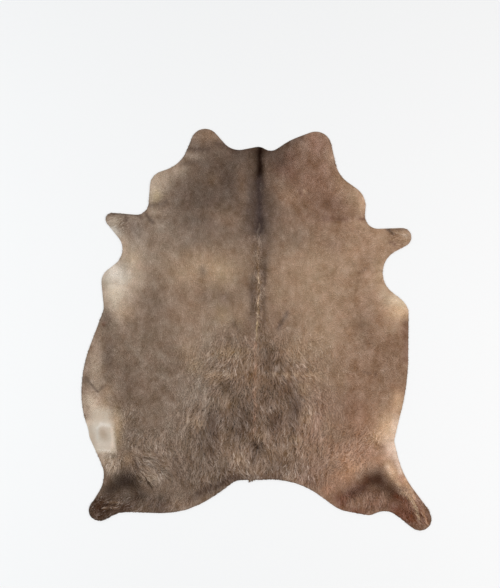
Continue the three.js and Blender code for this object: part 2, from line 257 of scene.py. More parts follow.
# Where the coat changes tone. Columns: part of the hide, tone, middle across and along, reach across and
# along, the tone's share there, and on some the turn to the left in degrees and the hardness of the edge.
COAT_PATCHES = [
    ("right side", "camel", 0.55, 0.1, 0.5, 1.2, 0.95),
    ("neck", "bark", -0.14, 0.74, 0.24, 0.2, 0.75),
    ("poll", "bark", 0.0, 0.88, 0.17, 0.04, 0.7),
    ("left poll", "bark", -0.09, 0.87, 0.05, 0.05, 0.6),
    ("left cheek", "ash", -0.29, 0.92, 0.09, 0.05, 0.5),
    ("left jaw deep", "bark", -0.24, 0.83, 0.05, 0.035, 0.35),
    ("left cheek top", "fawn", -0.24, 0.965, 0.05, 0.03, 0.6),
    ("left jaw", "oat", -0.39, 0.8, 0.05, 0.03, 0.5),
    ("left cheek fold", "stone", -0.32, 0.864, 0.05, 0.02, 0.75),
    ("left throat", "oat", -0.475, 0.74, 0.06, 0.07, 0.8),
    ("left throat rim", "linen", -0.52, 0.69, 0.03, 0.06, 0.4),
    ("left throat heel", "oat", -0.5, 0.588, 0.04, 0.022, 0.6),
    ("left throat spot", "straw", -0.505, 0.67, 0.025, 0.03, 0.4),
    ("left neck deep", "bark", -0.3, 0.65, 0.13, 0.1, 0.6),
    ("left neck core", "bark", -0.245, 0.645, 0.05, 0.04, 0.4),
    ("left nape deep", "umber", -0.14, 0.76, 0.04, 0.07, 0.4),
    ("left nape side", "fawn", -0.215, 0.755, 0.035, 0.035, 0.3),
    ("left nape light", "fawn", -0.07, 0.7, 0.025, 0.09, 0.45),
    ("left neck light", "fawn", -0.155, 0.555, 0.1, 0.05, 0.6),
    ("right poll", "bark", 0.12, 0.86, 0.08, 0.07, 0.85),
    ("right poll red", "mauve", 0.175, 0.88, 0.04, 0.07, 0.6),
    ("right cheek", "rose", 0.3, 0.93, 0.07, 0.06, 0.9),
    ("right cheek rim", "sand", 0.375, 0.86, 0.03, 0.05, 0.3),
    ("right jaw", "tan", 0.42, 0.75, 0.04, 0.05, 0.6),
    ("right nape", "mauve", 0.15, 0.795, 0.06, 0.06, 0.65),
    ("right poll deep", "umber", 0.12, 0.83, 0.04, 0.05, 0.35),
    ("right neck", "hazel", 0.3, 0.75, 0.12, 0.15, 0.5),
    ("right neck red", "russet", 0.27, 0.77, 0.13, 0.11, 0.13),
    ("right neck light", "camel", 0.165, 0.665, 0.055, 0.05, 0.7),
    ("right throat deep", "mauve", 0.38, 0.63, 0.1, 0.06, 0.7),
    ("right throat", "tan", 0.49, 0.67, 0.06, 0.07, 0.7),
    ("right throat rim", "biscuit", 0.54, 0.63, 0.022, 0.05, 0.35),
    ("withers", "slate", 0.02, 0.525, 0.088, 0.11, 0.75),
    ("right crest", "slate", 0.045, 0.67, 0.04, 0.08, 0.35),
    ("left crest", "slate", -0.03, 0.66, 0.04, 0.1, 0.5),
    ("withers foot", "bark", 0.03, 0.34, 0.022, 0.12, 0.7),
    ("left shoulder deep", "ash", -0.3, 0.53, 0.14, 0.05, 0.7),
    ("left shoulder grey", "grey", -0.32, 0.43, 0.08, 0.05, 0.6),
    ("right shoulder deep", "mauve", 0.36, 0.56, 0.12, 0.03, 0.5),
    ("right shoulder light", "sand", 0.51, 0.53, 0.05, 0.02, 0.4),
    ("right shoulder grey", "grey", 0.21, 0.46, 0.075, 0.05, 0.5),
    ("right shoulder foot", "mauve", 0.385, 0.42, 0.06, 0.04, 0.7),
    ("right elbow light", "apricot", 0.495, 0.395, 0.05, 0.04, 0.45),
    ("left elbow", "stone", -0.5, 0.48, 0.14, 0.09, 0.5),
    ("left fore shank", "grey", -0.6, 0.5, 0.05, 0.05, 0.7),
    ("left fore hoof", "linen", -0.705, 0.545, 0.035, 0.03, 0.45),
    ("left fore edge", "pearl", -0.698, 0.49, 0.018, 0.05, 0.7, 41, 1),
    ("left fore mark", "umber", -0.65, 0.55, 0.012, 0.016, 0.7),
    ("left armpit", "oat", -0.665, 0.42, 0.025, 0.05, 0.6),
    ("left elbow foot", "stone", -0.5, 0.33, 0.08, 0.1, 0.45),
    ("right elbow", "tan", 0.6, 0.45, 0.14, 0.07, 0.65),
    ("right elbow red", "ginger", 0.545, 0.43, 0.05, 0.05, 0.5),
    ("right fore shank rim", "brown", 0.68, 0.47, 0.03, 0.02, 0.3),
    ("right fore hoof", "sand", 0.74, 0.455, 0.025, 0.03, 0.5),
    ("right armpit", "honey", 0.62, 0.28, 0.035, 0.08, 0.55),
    ("left rib light", "tan", -0.27, 0.31, 0.19, 0.09, 0.8),
    ("left rib gleam", "honey", -0.36, 0.27, 0.07, 0.05, 0.35),
    ("left rib gold", "honey", -0.19, 0.28, 0.09, 0.06, 0.65),
    ("left rib spot", "ash", -0.265, 0.285, 0.016, 0.03, 0.6),
    ("left ribs", "fawn", -0.33, 0.12, 0.14, 0.16, 0.8),
    ("left side deep", "ash", -0.51, 0.12, 0.07, 0.14, 0.35),
    ("left chest edge", "oat", -0.61, 0.3, 0.055, 0.12, 0.9),
    ("left chest top", "cream", -0.63, 0.36, 0.03, 0.04, 0.4),
    ("left chest heel", "tan", -0.67, 0.09, 0.06, 0.04, 0.6),
    ("left chest", "linen", -0.7, 0.19, 0.075, 0.12, 0.82),
    ("left chest shine", "pearl", -0.7, 0.27, 0.055, 0.045, 0.85),
    ("left chest foot", "ash", -0.755, 0.055, 0.035, 0.05, 0.75),
    ("left chest mark", "russet", -0.767, 0.025, 0.01, 0.014, 0.5),
    ("fore spine", "bark", 0.01, 0.2, 0.03, 0.17, 0.7),
    ("left spine band", "bark", -0.024, 0.17, 0.018, 0.09, 0.75),
    ("left spine light", "tan", -0.085, 0.08, 0.035, 0.09, 0.45),
    ("right spine light", "tan", 0.11, 0.17, 0.035, 0.05, 0.4),
    ("right spine band", "bark", 0.035, 0.26, 0.025, 0.1, 0.95),
    ("left rib shade", "ash", -0.16, 0.165, 0.022, 0.035, 0.5),
    ("left rib grey", "ash", -0.25, 0.17, 0.04, 0.04, 0.35),
    ("left rib deep", "ash", -0.4, 0.14, 0.06, 0.05, 0.2),
    ("right ribs", "tan", 0.28, 0.25, 0.22, 0.2, 0.75),
    ("right rib shine", "sand", 0.46, 0.345, 0.04, 0.04, 0.25),
    ("right rib side", "sand", 0.57, 0.235, 0.03, 0.05, 0.25),
    ("right chest side", "tan", 0.62, 0.12, 0.04, 0.05, 0.35),
    ("right chest", "biscuit", 0.71, 0.1, 0.055, 0.06, 0.8),
    ("right chest edge", "cream", 0.69, 0.15, 0.08, 0.035, 0.7, -38, 1),
    ("right chest heel", "tan", 0.68, 0.0, 0.05, 0.035, 0.5),
    ("right side deep", "ash", 0.535, 0.0, 0.055, 0.12, 0.3),
    ("right side spot", "bark", 0.51, 0.02, 0.025, 0.03, 0.3),
    ("right back", "umber", 0.067, -0.16, 0.05, 0.07, 0.65),
    ("left back light", "tan", -0.34, -0.1, 0.05, 0.06, 0.5),
    ("left back gold", "honey", -0.17, 0.07, 0.05, 0.06, 0.5),
    ("left back shine", "oat", -0.26, -0.03, 0.06, 0.09, 0.4),
    ("right back shine", "honey", 0.2, -0.1, 0.06, 0.05, 0.4),
    ("right back light", "tan", 0.32, -0.04, 0.12, 0.14, 0.75),
    ("right loin grey", "taupe", 0.21, -0.18, 0.05, 0.06, 0.3),
    ("right thigh grey", "stone", 0.36, -0.3, 0.12, 0.18, 0.2),
    ("left loin deep", "bark", -0.11, -0.29, 0.07, 0.06, 0.35),
    ("left loin core", "umber", -0.14, -0.27, 0.05, 0.025, 0.35),
    ("left loin shine", "honey", -0.14, -0.11, 0.08, 0.03, 0.4),
    ("loin gold", "brown", -0.02, -0.23, 0.16, 0.1, 0.35),
    ("left loin side", "stone", -0.24, -0.14, 0.05, 0.05, 0.3),
    ("left loin light", "tan", -0.21, -0.23, 0.05, 0.03, 0.4),
    ("left croup shine", "tan", -0.14, -0.36, 0.03, 0.02, 0.35),
    ("left croup middle", "bark", -0.145, -0.44, 0.045, 0.045, 0.35),
    ("right loin light", "tan", 0.31, -0.24, 0.06, 0.04, 0.45),
    ("left rump deep", "bark", -0.23, -0.49, 0.06, 0.1, 0.8),
    ("left rump band", "umber", -0.22, -0.45, 0.025, 0.06, 0.5),
    ("left rump foot", "bark", -0.25, -0.595, 0.06, 0.09, 0.5),
    ("right rump foot", "bark", 0.11, -0.685, 0.05, 0.055, 0.65),
    ("left tail foot", "bark", -0.175, -0.695, 0.06, 0.04, 0.5),
    ("left thigh light", "stone", -0.42, -0.48, 0.08, 0.14, 0.3),
    ("left stifle top", "stone", -0.635, -0.42, 0.04, 0.035, 0.35),
    ("left croup deep", "bark", -0.06, -0.43, 0.07, 0.1, 0.85),
    ("left croup foot", "umber", -0.07, -0.53, 0.042, 0.05, 0.45),
    ("right croup core", "umber", 0.09, -0.46, 0.055, 0.065, 0.75),
    ("croup top", "umber", 0.045, -0.365, 0.025, 0.04, 0.35),
    ("right loin deep", "bark", 0.1, -0.3, 0.09, 0.08, 0.5),
    ("right loin dusk", "bark", 0.115, -0.185, 0.05, 0.045, 0.35),
    ("right croup deep", "bark", 0.185, -0.4, 0.042, 0.12, 0.7),
    ("right croup band", "umber", 0.195, -0.38, 0.025, 0.08, 0.5),
    ("right croup rose", "rose", 0.32, -0.47, 0.09, 0.11, 0.6),
    ("tail root", "peat", 0.012, -0.583, 0.04, 0.045, 0.7),
    ("right croup light", "tan", 0.365, -0.48, 0.045, 0.08, 0.4),
    ("right croup gleam", "tan", 0.25, -0.43, 0.03, 0.04, 0.45),
    ("left croup light", "tan", -0.3, -0.465, 0.04, 0.03, 0.5),
    ("right croup gold", "gold", 0.25, -0.29, 0.03, 0.04, 0.2),
    ("tail gold", "tan", 0.02, -0.525, 0.03, 0.025, 0.35),
    ("right tail light", "sand", 0.2, -0.54, 0.025, 0.015, 0.4),
    ("right tail shade", "bark", 0.125, -0.555, 0.03, 0.04, 0.3),
    ("tail shade", "bark", -0.015, -0.65, 0.03, 0.04, 0.5),
    ("left tail light", "tan", -0.09, -0.635, 0.03, 0.025, 0.35),
    ("left flank", "ash", -0.645, -0.26, 0.055, 0.12, 0.35),
    ("left flank light", "stone", -0.34, -0.3, 0.07, 0.07, 0.5),
    ("left flank gold", "honey", -0.31, -0.18, 0.045, 0.045, 0.35),
    ("left flank grey", "stone", -0.43, -0.24, 0.06, 0.08, 0.4),
    ("left loin foot", "stone", -0.275, -0.34, 0.06, 0.07, 0.7),
    ("left belly fold", "oat", -0.8, -0.19, 0.036, 0.12, 0.65),
    ("left fold shade", "slate", -0.74, -0.13, 0.027, 0.085, 0.38),
    ("left belly brown", "ash", -0.85, -0.26, 0.04, 0.03, 0.4),
    ("left belly rim", "honey", -0.695, -0.48, 0.028, 0.09, 0.7),
    ("left belly top", "oat", -0.815, -0.37, 0.06, 0.05, 0.85),
    ("left belly shoulder", "sand", -0.76, -0.375, 0.03, 0.035, 0.5),
    ("left fold foot", "tan", -0.74, -0.305, 0.03, 0.035, 0.4),
    ("left belly lee", "ash", -0.63, -0.52, 0.04, 0.06, 0.3),
    ("left belly skin", "linen", -0.77, -0.465, 0.058, 0.075, 0.85, 8, 2),
    ("left belly foot", "linen", -0.777, -0.535, 0.074, 0.08, 0.85, 0, 5),
    ("left belly ring", "chalk", -0.765, -0.53, 0.048, 0.066, 0.5, 12, 2),
    ("left belly mark", "oat", -0.758, -0.522, 0.034, 0.036, 1.0),
    ("left stifle", "oat", -0.755, -0.65, 0.045, 0.04, 0.75),
    ("left stifle wisps", "oat", -0.715, -0.7, 0.025, 0.035, 0.85),
    ("right flank", "bark", 0.66, -0.15, 0.11, 0.15, 0.2),
    ("right flank rim", "brown", 0.755, -0.1, 0.024, 0.12, 0.8),
    ("right thigh", "hazel", 0.47, -0.39, 0.1, 0.1, 0.35),
    ("right flank light", "tan", 0.41, -0.255, 0.045, 0.07, 0.35),
    ("right thigh glow", "ginger", 0.53, -0.48, 0.08, 0.06, 0.7),
    ("right belly", "biscuit", 0.665, -0.5, 0.062, 0.1, 0.75),
    ("right belly rim", "shell", 0.67, -0.59, 0.045, 0.05, 0.95),
    ("right belly top", "peach", 0.705, -0.36, 0.035, 0.05, 0.5),
    ("right belly side", "shell", 0.7, -0.48, 0.022, 0.06, 0.5),
    ("right hip", "ginger", 0.52, -0.62, 0.16, 0.07, 0.8),
    ("right hip light", "ginger", 0.41, -0.77, 0.08, 0.07, 0.75),
    ("right rump rose", "rose", 0.29, -0.68, 0.08, 0.06, 0.4),
    ("right shank rim", "apricot", 0.71, -0.74, 0.035, 0.12, 0.6, 38, 1),
    ("right shank blush", "cream", 0.718, -0.79, 0.015, 0.06, 0.2, 38, 1),
    ("right shank edge", "hazel", 0.81, -0.87, 0.026, 0.07, 0.75, 35, 1),
    ("right hock", "hazel", 0.57, -0.85, 0.1, 0.05, 0.7),
    ("right hind shank", "russet", 0.765, -0.925, 0.05, 0.09, 0.9, 40, 1),
    ("right arch core", "umber", 0.6, -0.745, 0.046, 0.042, 0.7),
    ("right stifle blush", "biscuit", 0.672, -0.71, 0.028, 0.045, 0.7, 25, 1),
    ("right stifle mark", "mauve", 0.62, -0.592, 0.014, 0.012, 0.6),
    ("right hip shine", "apricot", 0.48, -0.675, 0.055, 0.035, 0.9),
    ("right hip heel", "apricot", 0.6, -0.66, 0.04, 0.02, 0.4),
    ("right thigh shine", "peach", 0.605, -0.54, 0.05, 0.05, 0.4),
    ("right hip gleam", "apricot", 0.44, -0.735, 0.05, 0.03, 0.75),
    ("right arch inside", "russet", 0.585, -0.81, 0.05, 0.02, 0.3),
    ("right hock shade", "mauve", 0.625, -0.885, 0.06, 0.02, 0.6),
    ("right shank glow", "ginger", 0.733, -0.75, 0.016, 0.03, 0.85, 38, 1),
    ("right hock foot", "russet", 0.7, -0.9, 0.06, 0.035, 0.9, -40, 1),
    ("right hoof rim", "russet", 0.86, -0.94, 0.022, 0.04, 0.6),
    ("right hock rim", "russet", 0.5, -0.905, 0.06, 0.025, 0.75),
    ("left hip light", "stone", -0.495, -0.728, 0.06, 0.03, 0.9),
    ("left hip gold", "tan", -0.545, -0.73, 0.03, 0.03, 0.35),
    ("left hip crown", "tan", -0.64, -0.64, 0.035, 0.03, 0.5),
    ("left hip deep", "bark", -0.415, -0.7, 0.03, 0.05, 0.4),
    ("left hip dusk", "bark", -0.54, -0.69, 0.05, 0.035, 0.3),
    ("left hock", "bark", -0.61, -0.845, 0.14, 0.05, 0.8),
    ("left hock edge", "umber", -0.475, -0.88, 0.06, 0.04, 0.7),
    ("left hock shade", "umber", -0.64, -0.885, 0.025, 0.015, 0.6),
    ("left hock rim", "umber", -0.69, -0.9, 0.1, 0.03, 0.8),
    ("left arch core", "peat", -0.652, -0.752, 0.068, 0.054, 0.85),
    ("left hind shank", "sepia", -0.778, -0.895, 0.095, 0.09, 1.0),
    ("left thigh", "ash", -0.35, -0.72, 0.1, 0.09, 0.4),
    ("left hock blush", "fawn", -0.385, -0.87, 0.05, 0.022, 0.55, 10, 1),
    ("left fringe", "umber", -0.18, -0.755, 0.08, 0.033, 0.5, 25, 1),
    ("left hock fringe", "umber", -0.315, -0.845, 0.06, 0.022, 0.4, 22, 1),
    ("right rump shade", "bark", 0.23, -0.68, 0.05, 0.06, 0.4),
    ("right rump shine", "fawn", 0.29, -0.61, 0.05, 0.05, 0.45),
    ("right rump side", "fawn", 0.4, -0.54, 0.07, 0.05, 0.3),
    ("right fringe", "mauve", 0.28, -0.76, 0.08, 0.03, 0.55, -25, 1),
    ("right fringe deep", "russet", 0.42, -0.86, 0.04, 0.03, 0.6, -30, 1),
    ("right fringe glow", "ginger", 0.36, -0.81, 0.04, 0.03, 0.7),
    ("left fore sheen", "oat", -0.36, 0.18, 0.3, 0.36, 0.12, 0, 2),
    ("right fore sheen", "oat", 0.36, 0.18, 0.3, 0.36, 0.12, 0, 2),
]

# Lines of another tone: the mane, partings, arches over the hips and creases. The dark lines along the
# creases and folds are painted shade, where shade falls in the folds of the skin. Columns: line, tone,
# both ends, reach to each side, the tone's share there, and on some how far it wanders and is broken.
COAT_LINES = [
    ("left crest rim", "umber", (-0.19, 0.93), (-0.1, 0.895), 0.018, 0.6),
    ("poll rim", "umber", (-0.1, 0.9), (0.07, 0.895), 0.016, 0.6),
    ("right crest rim", "umber", (0.07, 0.895), (0.22, 0.96), 0.028, 0.6),
    ("mane halo", "sepia", (0.014, 0.92), (0.012, 0.75), 0.036, 0.45, 0.003, 0),
    ("mane", "soot", (0.017, 0.925), (0.016, 0.768), 0.021, 1.0, 0.003, 0),
    ("mane foot", "slate", (0.015, 0.742), (0.015, 0.5), 0.024, 1.0, 0.003, 0),
    ("mane glint", "grey", (0.022, 0.73), (0.021, 0.7), 0.004, 0.6),
    ("fore parting", "stone", (0.013, 0.53), (0.01, 0.41), 0.0042, 0.5, 0.004, 0.5),
    ("fore parting wisp", "stone", (0.026, 0.48), (0.022, 0.4), 0.004, 0.3, 0.004, 0.5),
    ("fore parting foot", "tan", (0.004, 0.41), (0.01, 0.28), 0.004, 0.4, 0.004, 0.6),
    ("mid parting", "gold", (0.006, 0.28), (0.011, 0.14), 0.0042, 0.55, 0.004, 0.6),
    ("back parting", "gold", (0.009, 0.14), (0.003, 0.03), 0.0042, 0.6, 0.004, 0.5),
    ("back parting foot", "gold", (0.003, 0.035), (0.001, 0.0), 0.0045, 0.85, 0.002, 0.2),
    ("loin parting", "gold", (0.001, 0.0), (0.0, -0.05), 0.0045, 0.5, 0.002, 0.3),
    ("parting wisps", "tan", (0.012, 0.26), (0.012, 0.13), 0.01, 0.4, 0.004, 0.4),
    ("left spine edge", "umber", (-0.019, 0.265), (-0.02, 0.075), 0.01, 0.3, 0.003, 0.2),
    ("right spine edge", "umber", (0.041, 0.325), (0.041, 0.23), 0.012, 0.5, 0.003, 0.2),
    ("right spine foot", "umber", (0.04, 0.165), (0.038, 0.015), 0.01, 0.35, 0.003, 0.2),
    ("hind parting", "ginger", (-0.003, -0.06), (-0.012, -0.5), 0.006, 0.55, 0.006, 0.6),
    ("left arch inner", "peat", (-0.61, -0.76), (-0.58, -0.82), 0.028, 0.5),
    ("left arch outer", "peat", (-0.66, -0.755), (-0.735, -0.8), 0.035, 0.7),
    ("left hoof rim", "sepia", (-0.83, -0.928), (-0.735, -0.938), 0.012, 0.7, 0.002, 0.2),
    # Painted shade in the creases over the left hip.
    ("left hip crease", "peat", (-0.556, -0.742), (-0.522, -0.787), 0.0055, 0.85, 0.002, 0),
    ("left hip short crease", "umber", (-0.514, -0.767), (-0.5, -0.79), 0.006, 0.5, 0.002, 0),
    ("left hip fork", "umber", (-0.613, -0.645), (-0.592, -0.7), 0.006, 0.6, 0.003, 0.2),
    ("left hip upper crease", "umber", (-0.585, -0.635), (-0.553, -0.642), 0.005, 0.5, 0.002, 0.2),
    ("left hip thread", "tan", (-0.585, -0.688), (-0.53, -0.692), 0.006, 0.4, 0.003, 0.3),
    ("left hip inside crease", "umber", (-0.505, -0.615), (-0.462, -0.657), 0.006, 0.5, 0.003, 0.2),
    ("left hip far crease", "umber", (-0.42, -0.63), (-0.38, -0.667), 0.006, 0.4, 0.003, 0.2),
    ("left shank strand", "fawn", (-0.762, -0.884), (-0.69, -0.888), 0.006, 0.5, 0.004, 0.2),
    ("left hock strand", "fawn", (-0.745, -0.862), (-0.68, -0.867), 0.006, 0.5, 0.004, 0.2),
    ("left shank gap", "sepia", (-0.75, -0.873), (-0.635, -0.884), 0.005, 0.5, 0.004, 0.2),
    # Painted shade in the cleft and the crease of the left hock.
    ("left hock cleft", "sepia", (-0.603, -0.81), (-0.598, -0.86), 0.006, 0.5, 0.003, 0.2),
    ("left hock crease", "peat", (-0.485, -0.83), (-0.48, -0.87), 0.006, 0.5, 0.002, 0.2),
    ("right arch inner", "russet", (0.557, -0.757), (0.43, -0.85), 0.03, 0.8, 0.004, 0.2),
    ("right arch shade", "umber", (0.57, -0.76), (0.48, -0.81), 0.026, 0.5, 0.004, 0.2),
    ("right arch outer", "chestnut", (0.605, -0.75), (0.7, -0.825), 0.034, 0.78, 0.004, 0),
    ("right arch foot", "russet", (0.7, -0.83), (0.748, -0.862), 0.018, 0.75, 0.003, 0),
    ("right belly crease", "tan", (0.655, -0.555), (0.69, -0.556), 0.005, 0.6),
    ("right stifle wisp", "shell", (0.65, -0.682), (0.668, -0.714), 0.01, 0.35, 0.003, 0.2),
    ("right shank high wisp", "biscuit", (0.705, -0.76), (0.717, -0.775), 0.008, 0.5, 0.003, 0.2),
    ("right shank wisp", "biscuit", (0.73, -0.813), (0.757, -0.823), 0.008, 0.6, 0.004, 0.3),
    ("right shank low wisp", "biscuit", (0.764, -0.839), (0.79, -0.875), 0.008, 0.7, 0.003, 0.2),
    ("right shank streak", "sand", (0.79, -0.875), (0.81, -0.945), 0.006, 0.75, 0.002, 0),
    ("right shank gap", "russet", (0.806, -0.88), (0.832, -0.965), 0.005, 0.7, 0.002, 0),
    ("right shank thread", "apricot", (0.826, -0.905), (0.852, -0.968), 0.005, 0.6, 0.002, 0),
    ("right shank pale edge", "shell", (0.692, -0.63), (0.72, -0.71), 0.012, 0.6, 0.003, 0.2),
    ("right shank pale side", "peach", (0.737, -0.75), (0.785, -0.835), 0.01, 0.5, 0.003, 0.2),
    ("left loin ridge", "tan", (-0.25, -0.225), (-0.12, -0.225), 0.01, 0.4, 0.004, 0.3),
    ("right loin ridge", "tan", (0.09, -0.218), (0.31, -0.222), 0.009, 0.6, 0.004, 0.3),
    ("left rump rim", "umber", (-0.29, -0.815), (-0.1, -0.735), 0.02, 0.75, 0.003, 0.2),
    ("tail rim", "umber", (-0.1, -0.735), (0.12, -0.735), 0.014, 0.6, 0.003, 0.3),
    ("left belly wedge", "linen", (-0.84, -0.335), (-0.79, -0.42), 0.02, 0.3, 0.003, 0),
    ("right flank fleck", "umber", (0.535, -0.214), (0.568, -0.217), 0.007, 0.4, 0.002, 0),
    ("right flank nick", "umber", (0.598, -0.212), (0.59, -0.236), 0.006, 0.35, 0.002, 0),
    ("left belly edge", "stone", (-0.835, -0.43), (-0.815, -0.57), 0.014, 0.25, 0.003, 0),
    # The pale ring, with a painted highlight on its left side, which is painted lighter than the rest of
    # the ring.
    ("belly ring left", "pearl", (-0.794, -0.492), (-0.797, -0.54), 0.007, 0.6, 0.002, 0),
    ("belly ring crown", "chalk", (-0.776, -0.472), (-0.794, -0.492), 0.007, 0.6, 0.002, 0),
    ("belly ring top", "chalk", (-0.776, -0.472), (-0.735, -0.478), 0.009, 0.7, 0.002, 0),
    ("belly ring right", "shell", (-0.722, -0.49), (-0.72, -0.585), 0.008, 0.5, 0.002, 0),
    ("belly ring foot", "chalk", (-0.785, -0.6), (-0.735, -0.605), 0.007, 0.4, 0.002, 0.2),
    # Painted shade in the creases and folds of the neck and the left foreleg.
    ("left cheek crease", "umber", (-0.345, 0.903), (-0.24, 0.901), 0.01, 0.5),
    ("left cheek foot", "bark", (-0.38, 0.825), (-0.29, 0.84), 0.012, 0.5),
    ("left throat foot", "bark", (-0.535, 0.62), (-0.45, 0.635), 0.011, 0.55),
    ("left fore crease", "bark", (-0.555, 0.578), (-0.518, 0.535), 0.009, 0.8),
    ("left fore fold", "bark", (-0.59, 0.575), (-0.573, 0.557), 0.01, 0.7),
    ("left fore rim", "bark", (-0.735, 0.578), (-0.6, 0.572), 0.007, 0.6, 0.002, 0.2),
    ("right fore rim", "umber", (0.65, 0.5), (0.745, 0.504), 0.007, 0.45, 0.002, 0.2),
    # Painted shade in the creases of the right foreleg and, a few rows below, the right shoulder.
    ("right fore crease", "bark", (0.66, 0.497), (0.68, 0.477), 0.008, 0.8, 0.002, 0),
    ("right fore strand", "oat", (0.7, 0.487), (0.75, 0.468), 0.006, 0.6, 0.003, 0.2),
    ("right fore mark", "mauve", (0.667, 0.44), (0.69, 0.425), 0.008, 0.6),
    ("right shoulder crease", "mauve", (0.34, 0.552), (0.45, 0.552), 0.012, 0.6),
    ("right shoulder tick", "mauve", (0.515, 0.553), (0.54, 0.553), 0.007, 0.7),
    ("right neck scar", "mauve", (0.217, 0.7), (0.224, 0.672), 0.007, 0.7, 0.002, 0),
    ("right neck scar edge", "sand", (0.238, 0.697), (0.246, 0.687), 0.0045, 0.7),
    ("right flank shade", "mauve", (0.748, 0.03), (0.752, -0.15), 0.022, 0.65),
    # Painted shade in the creases over the right ribs and armpit.
    ("right rib hook", "bark", (0.548, 0.305), (0.518, 0.284), 0.009, 0.3, 0.002, 0),
    ("right armpit crease", "brown", (0.585, 0.288), (0.63, 0.297), 0.008, 0.45, 0.002, 0.2),
    ("right rib crease", "brown", (0.512, 0.28), (0.497, 0.18), 0.015, 0.65),
    ("right side crease", "brown", (0.505, 0.11), (0.505, -0.02), 0.012, 0.35),
    ("right back streak", "bark", (0.112, 0.005), (0.152, 0.085), 0.012, 0.75, 0.002, 0.3),
    ("left back streak", "bark", (-0.118, 0.035), (-0.092, 0.0), 0.011, 0.5, 0.002, 0.3),
    # Painted shade in the V-shaped crease of the left belly.
    ("left belly crease", "bark", (-0.855, -0.24), (-0.795, -0.31), 0.006, 0.6),
    ("left belly fork", "bark", (-0.795, -0.31), (-0.765, -0.285), 0.006, 0.5),
]
TONE_WARP = 0.02
TONE_WARP_SCALE = 9.0
TONE_WARP_SEEDS = (3.1, 7.7)
LINE_WANDER_SCALE = 30.0
LINE_WANDER_SEEDS = (13.6, 17.2)
LINE_BREAK_SCALE = 40.0
LINE_BREAK_DEPTH = 1.6
LINE_BREAK_SEED = 19.4
MOTTLE = [
    {"scale": (16.0, 14.0), "depth": 0.085, "seed": 21.3},
    {"scale": (34.0, 26.0), "depth": 0.15, "seed": 8.4},
    {"scale": (72.0, 66.0), "depth": 0.13, "seed": 34.8},
]
HUE_SCALE = 24.0
HUE_DEPTH = 0.015
HUE_TURN = (1.0, -0.3, -0.6)
HUE_SEED = 27.5
HUE_HOLD = 0.6
# Painted shade along the cut edge. Tones are darker within a few millimetres of it, partly from the hide's
# dark cut edge and partly as painted shade where the coat turns down to the floor. Pale tones take less of
# it.
EDGE_SHADE = 0.42
EDGE_REACH = 0.006
EDGE_PALE = 0.35
PALE_TONE = 0.28
PALE_CALM = 0.42
COAT_GAIN = (1.645, 1.6, 1.57)

# Bare skin, where next to no hair grows. Columns: part of the hide, middle across and along, reach across
# and along, hardness of its edge, and how bare it is.
BARE_SKIN = [
    ("left belly top", -0.8, -0.38, 0.05, 0.05, 1, 0.3),
    ("left belly", -0.777, -0.465, 0.062, 0.078, 2, 0.95),
    ("left belly foot", -0.777, -0.535, 0.072, 0.078, 5, 1.0),
]
UNDERFUR_SHADE = 0.75
BARE_SHADE = 0.56
BARE_LEAST = 0.02
UNDERFUR_HAIR = {"roughness": 0.8, "streak_depth": 0.2, "streak_scale": 420.0, "comb": (1.0, 0.4, 1.0)}
HAIR_GLOSS = 0.06
HAIR_SHEEN = {"Sheen Weight": 0.01, "Sheen Roughness": 0.45}
HAIR_STREAK_DETAIL = 2.0
HAIR_RELIEF = {"Strength": 0.4, "Distance": 0.0004}
SUEDE_ROUGHNESS = 0.9
SUEDE_GLOSS = 0.2
SUEDE_NAP = {"Scale": 14.0, "Detail": 8.0, "Roughness": 0.65}
SUEDE_TONES = [(0.3, (0.42, 0.34, 0.26, 1)), (0.7, (0.6, 0.52, 0.43, 1))]
SUEDE_RELIEF = {"Strength": 0.3, "Distance": 0.0003}


def fading(x, y, hardness):
    return np.exp(-((x * x) ** hardness) - (y * y) ** hardness)


def spread_over(areas, points):
    share = np.zeros(len(points))
    for _, across, along, reach_x, reach_y, hardness, most in areas:
        x = (points[:, 0] - across) / reach_x
        y = (points[:, 1] - along) / reach_y
        share = np.maximum(share, most * fading(x, y, hardness))
    return share


def daylight(tone):
    shown = np.array([int(tone[i:i + 2], 16) / 255 for i in (0, 2, 4)])
    return np.where(shown <= 0.04045, shown / 12.92, ((shown + 0.055) / 1.055) ** 2.4)


def uneven(points, scale, seed):
    return np.array([noise.noise(Vector((x, y, seed))) for x, y in points * scale])


def shaded(tones, shade):
    grey = tones.mean(axis=1)[:, None]
    return grey * shade[:, None] + (tones - grey) * shade[:, None] ** (1 - HUE_HOLD)


def calm_where_pale(tones):
    return np.clip(PALE_TONE / tones.mean(axis=1), PALE_CALM, 1)


